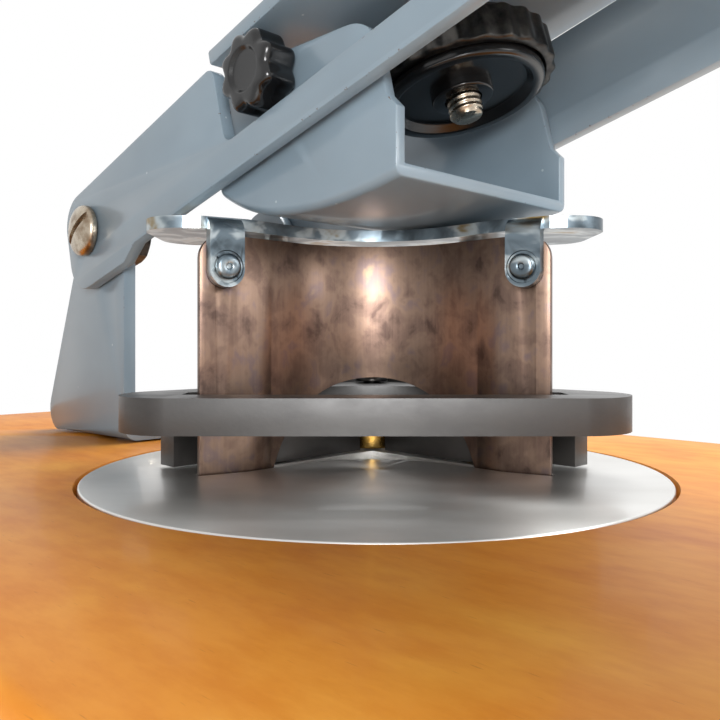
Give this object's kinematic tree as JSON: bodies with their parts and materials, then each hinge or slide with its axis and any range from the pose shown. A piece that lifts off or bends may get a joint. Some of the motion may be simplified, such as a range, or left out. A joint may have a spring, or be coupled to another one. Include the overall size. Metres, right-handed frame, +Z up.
{
  "type": "corner rounder",
  "caption": "Bench-top corner rounder: a lever presses a curved blade through a guard into a round steel die let into a wooden base.",
  "frame": {"origin": "middle of the bed disc's upper face, the plane in which the paper lies", "axes": "+X to the right, +Y to the back, towards the lever's pivot, and +Z up; the handle points to -Y"},
  "size_m": [0.12, 0.2402, 0.1175],
  "materials": {
    "varnished_wood": "glossy amber varnish",
    "ground_steel": "fine brushed",
    "blade_steel": "polished, bronze-brown tarnish",
    "zinc_plate": "bright zinc plating",
    "black_paint": "satin black",
    "grey_enamel": "glossy grey-blue enamel",
    "black_plastic": "satin moulded",
    "brass": "turned",
    "spring_steel": "oiled spring wire",
    "black_rubber": "matt",
    "bolt_steel": "plated, slightly yellowed"
  },
  "bodies": {
    "base": {"bed_disc": "ground_steel", "bed_screw_1": "bolt_steel", "bed_screw_2": "bolt_steel", "bed_screw_3": "bolt_steel", "bracket_screw_1": "bolt_steel", "bracket_screw_2": "bolt_steel", "bracket_screw_3": "bolt_steel", "bracket_screw_4": "bolt_steel", "edge_guide_left": "black_paint", "edge_guide_right": "black_paint", "foot_1": "black_rubber", "foot_2": "black_rubber", "foot_3": "black_rubber", "foot_4": "black_rubber", "foot_screw_1": "bolt_steel", "foot_screw_2": "bolt_steel", "foot_screw_3": "bolt_steel", "foot_screw_4": "bolt_steel", "guard_frame": "black_paint", "guard_screw_left": "bolt_steel", "guard_screw_rear": "bolt_steel", "guard_screw_right": "bolt_steel", "guard_spacer": "brass", "guide_bush_left": "brass", "guide_bush_right": "brass", "pivot_bolt_left": "bolt_steel", "pivot_bolt_right": "bolt_steel", "pivot_nut_left": "bolt_steel", "pivot_nut_right": "bolt_steel", "return_spring_left": "spring_steel", "return_spring_right": "spring_steel", "upright_bracket": "grey_enamel", "wooden_base": "varnished_wood"},
    "lever": {"lever_plate_left": "grey_enamel", "lever_plate_right": "grey_enamel", "lever_web": "grey_enamel", "rocker": "grey_enamel", "handle_grip": "black_plastic", "handle_rod": "bolt_steel", "handle_nut": "bolt_steel", "adjuster_stud": "bolt_steel", "stud_nut_upper": "bolt_steel", "stud_nut_lower": "bolt_steel", "clamp_nut": "bolt_steel"},
    "wheel": {"adjuster_wheel": "black_plastic", "adjuster_rim": "ground_steel"},
    "knob": {"clamp_knob": "black_plastic", "clamp_screw": "bolt_steel"},
    "blade_unit": {"blade": "blade_steel", "head_plate": "zinc_plate", "tab_rivet_left": "zinc_plate", "tab_rivet_right": "zinc_plate", "guide_pin_left": "ground_steel", "guide_pin_right": "ground_steel", "pin_clip_left": "spring_steel", "pin_clip_right": "spring_steel"}
  },
  "joints": [
    {"name": "lever_hinge", "type": "hinge", "parent": "base", "child": "lever", "pos_m": [0.0071, 0.0546, 0.036], "axis": [1, 0, 0], "range_deg": [0, 13.2]},
    {"name": "blade_slide", "type": "slide", "parent": "base", "child": "blade_unit", "axis": [0, 0, -1], "range_m": [0, 0.01339], "stiffness_N_per_m": 2500, "springref_m": -0.006, "deforming": ["return_spring_left", "return_spring_right"]},
    {"name": "wheel_turn", "type": "hinge", "parent": "lever", "child": "wheel", "pos_m": [0.0071, -0.00844, 0.05301], "axis": [0, 0.2605, 0.9655], "range_deg": [-180, 180]},
    {"name": "knob_turn", "type": "hinge", "parent": "lever", "child": "knob", "pos_m": [-0.011, 0.00754, 0.0516], "axis": [-1, 0, 0], "range_deg": [-90, 90]}
  ],
  "couplings": [
    {"joint": "blade_slide", "follows": "lever_hinge", "m_per_rad": 0.0581}
  ]
}
